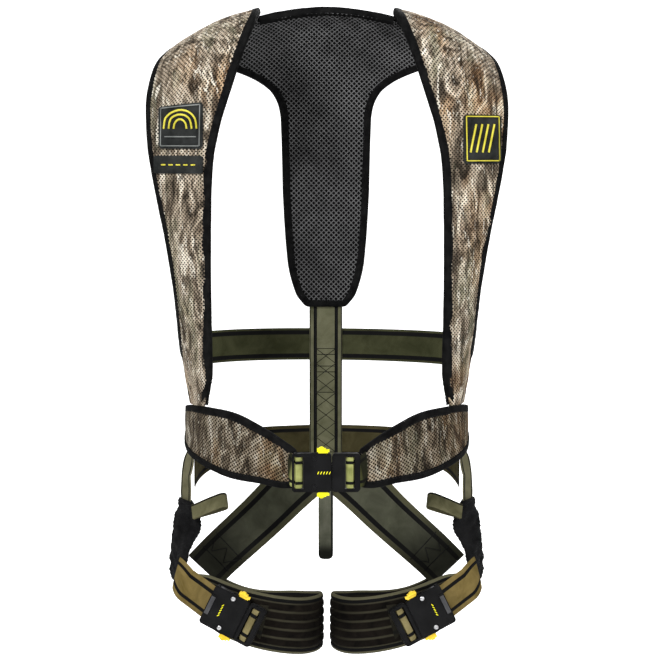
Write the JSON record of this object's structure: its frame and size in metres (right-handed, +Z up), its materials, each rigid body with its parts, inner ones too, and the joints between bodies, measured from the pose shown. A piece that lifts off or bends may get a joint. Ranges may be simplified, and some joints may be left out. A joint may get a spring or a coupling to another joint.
{
  "type": "safety harness vest",
  "caption": "Padded full-body fall-arrest harness vest with a back yoke, shoulder panels, padded belt, leg loops and quick-release buckles.",
  "frame": {"origin": "middle of the wearer's waist, at the height of the belt", "axes": "+Z up, the wearer faces -Y, +X is the wearer's left"},
  "size_m": [0.4536, 0.3104, 0.8281],
  "materials": {
    "camo_mesh": "open diamond mesh printed with bark-like camouflage",
    "spacer_mesh": "black spacer mesh",
    "binding_tape": "black binding tape, stitched",
    "label": null,
    "buckle_plastic": "black moulded plastic with steel rivets",
    "release_tab": "yellow release tab",
    "black_cloth": "black woven cover",
    "ribbed_padding": "dark ribbed padding with an olive edge",
    "hip_webbing": "wide grey-olive webbing with black stripes",
    "belt_webbing": "yellow-green webbing with dark stripes",
    "leg_webbing": "tan webbing with black stripes",
    "back_webbing": "olive webbing with black stripes"
  },
  "bodies": {
    "vest": {"back_lining": "spacer_mesh", "back_cover": "camo_mesh", "back_binding": "binding_tape", "dorsal_strap": "back_webbing", "tether_loop": "black_cloth", "back_strap": "back_webbing", "seat_strap": "back_webbing", "shoulder_cover_left": "camo_mesh", "shoulder_cover_right": "camo_mesh", "shoulder_lining_left": "spacer_mesh", "shoulder_lining_right": "spacer_mesh", "shoulder_webbing_left": "back_webbing", "shoulder_webbing_right": "back_webbing", "shoulder_binding_left": "binding_tape", "shoulder_binding_right": "binding_tape", "chest_label_left": "label", "chest_labels_right": "label", "belt_cover_left": "camo_mesh", "belt_cover_right": "camo_mesh", "belt_lining_left": "spacer_mesh", "belt_lining_right": "spacer_mesh", "belt_webbing_left": "belt_webbing", "belt_webbing_right": "belt_webbing", "belt_binding_left": "binding_tape", "belt_binding_right": "binding_tape", "waist_housing": "buckle_plastic", "hip_strap_upper_left": "hip_webbing", "hip_strap_upper_right": "hip_webbing", "side_strap_upper_left": "back_webbing", "side_strap_upper_right": "back_webbing"},
    "waist_bar": {"waist_bar": "buckle_plastic"},
    "waist_tongue": {"waist_tongue": "buckle_plastic", "waist_tongue_webbing": "belt_webbing"},
    "waist_tab_upper": {"waist_tab_upper": "release_tab"},
    "waist_tab_lower": {"waist_tab_lower": "release_tab"},
    "tail_strap": {"tail_strap": "back_webbing"},
    "leg_loop_left": {"hip_strap_lower_left": "hip_webbing", "side_strap_lower_left": "back_webbing", "sleeve_left": "black_cloth", "leg_pad_left": "ribbed_padding", "leg_strap_left": "leg_webbing", "leg_housing_left": "buckle_plastic"},
    "leg_bar_left": {"leg_bar_left": "buckle_plastic"},
    "leg_tab_upper_left": {"leg_tab_upper_left": "release_tab"},
    "leg_tab_lower_left": {"leg_tab_lower_left": "release_tab"},
    "leg_tongue_left": {"leg_tongue_left": "buckle_plastic", "leg_tongue_webbing_left": "leg_webbing"},
    "gear_loop_left": {"gear_loop_left": "leg_webbing"},
    "leg_loop_right": {"hip_strap_lower_right": "hip_webbing", "side_strap_lower_right": "back_webbing", "sleeve_right": "black_cloth", "leg_pad_right": "ribbed_padding", "leg_strap_right": "leg_webbing", "leg_housing_right": "buckle_plastic"},
    "leg_bar_right": {"leg_bar_right": "buckle_plastic"},
    "leg_tab_upper_right": {"leg_tab_upper_right": "release_tab"},
    "leg_tab_lower_right": {"leg_tab_lower_right": "release_tab"},
    "leg_tongue_right": {"leg_tongue_right": "buckle_plastic", "leg_tongue_webbing_right": "leg_webbing"},
    "gear_loop_right": {"gear_loop_right": "leg_webbing"}
  },
  "joints": [
    {"name": "waist_tongue_slide", "type": "slide", "parent": "vest", "child": "waist_tongue", "axis": [1, 0, 0], "range_m": [0, 0.025]},
    {"name": "waist_bar_slide", "type": "slide", "parent": "vest", "child": "waist_bar", "axis": [-1, 0, 0], "range_m": [0, 0.0025]},
    {"name": "waist_tab_upper_press", "type": "slide", "parent": "vest", "child": "waist_tab_upper", "axis": [0, 0, -1], "range_m": [0, 0.003], "stiffness_N_per_m": 60},
    {"name": "waist_tab_lower_press", "type": "slide", "parent": "vest", "child": "waist_tab_lower", "axis": [0, 0, 1], "range_m": [0, 0.003], "stiffness_N_per_m": 60},
    {"name": "tail_strap_swing", "type": "hinge", "parent": "vest", "child": "tail_strap", "pos_m": [0, 0.1325, -0.067], "axis": [-1, 0, 0], "range_deg": [0, 35]},
    {"name": "leg_swing_left", "type": "hinge", "parent": "vest", "child": "leg_loop_left", "pos_m": [0.18, -0.008, -0.054], "axis": [-1, 0, 0], "range_deg": [0, 12]},
    {"name": "leg_tongue_slide_left", "type": "slide", "parent": "leg_loop_left", "child": "leg_tongue_left", "axis": [-0.8851, -0.1561, -0.4384], "range_m": [0, 0.025]},
    {"name": "leg_bar_slide_left", "type": "slide", "parent": "leg_loop_left", "child": "leg_bar_left", "axis": [0.8851, 0.1561, 0.4384], "range_m": [0, 0.0025]},
    {"name": "leg_tab_upper_press_left", "type": "slide", "parent": "leg_loop_left", "child": "leg_tab_upper_left", "axis": [0.4317, 0.0761, -0.8988], "range_m": [0, 0.003], "stiffness_N_per_m": 60},
    {"name": "leg_tab_lower_press_left", "type": "slide", "parent": "leg_loop_left", "child": "leg_tab_lower_left", "axis": [-0.4317, -0.0761, 0.8988], "range_m": [0, 0.003], "stiffness_N_per_m": 60},
    {"name": "gear_loop_flap_left", "type": "hinge", "parent": "leg_loop_left", "child": "gear_loop_left", "pos_m": [0.166, -0.043, -0.097], "axis": [0, 0, 1], "range_deg": [-25, 35]},
    {"name": "leg_swing_right", "type": "hinge", "parent": "vest", "child": "leg_loop_right", "pos_m": [-0.18, -0.008, -0.054], "axis": [-1, 0, 0], "range_deg": [0, 12]},
    {"name": "leg_tongue_slide_right", "type": "slide", "parent": "leg_loop_right", "child": "leg_tongue_right", "axis": [0.8851, -0.1561, -0.4384], "range_m": [0, 0.025]},
    {"name": "leg_bar_slide_right", "type": "slide", "parent": "leg_loop_right", "child": "leg_bar_right", "axis": [-0.8851, 0.1561, 0.4384], "range_m": [0, 0.0025]},
    {"name": "leg_tab_upper_press_right", "type": "slide", "parent": "leg_loop_right", "child": "leg_tab_upper_right", "axis": [-0.4317, 0.0761, -0.8988], "range_m": [0, 0.003], "stiffness_N_per_m": 60},
    {"name": "leg_tab_lower_press_right", "type": "slide", "parent": "leg_loop_right", "child": "leg_tab_lower_right", "axis": [0.4317, -0.0761, 0.8988], "range_m": [0, 0.003], "stiffness_N_per_m": 60},
    {"name": "gear_loop_flap_right", "type": "hinge", "parent": "leg_loop_right", "child": "gear_loop_right", "pos_m": [-0.166, -0.043, -0.097], "axis": [0, 0, -1], "range_deg": [-25, 35]}
  ]
}
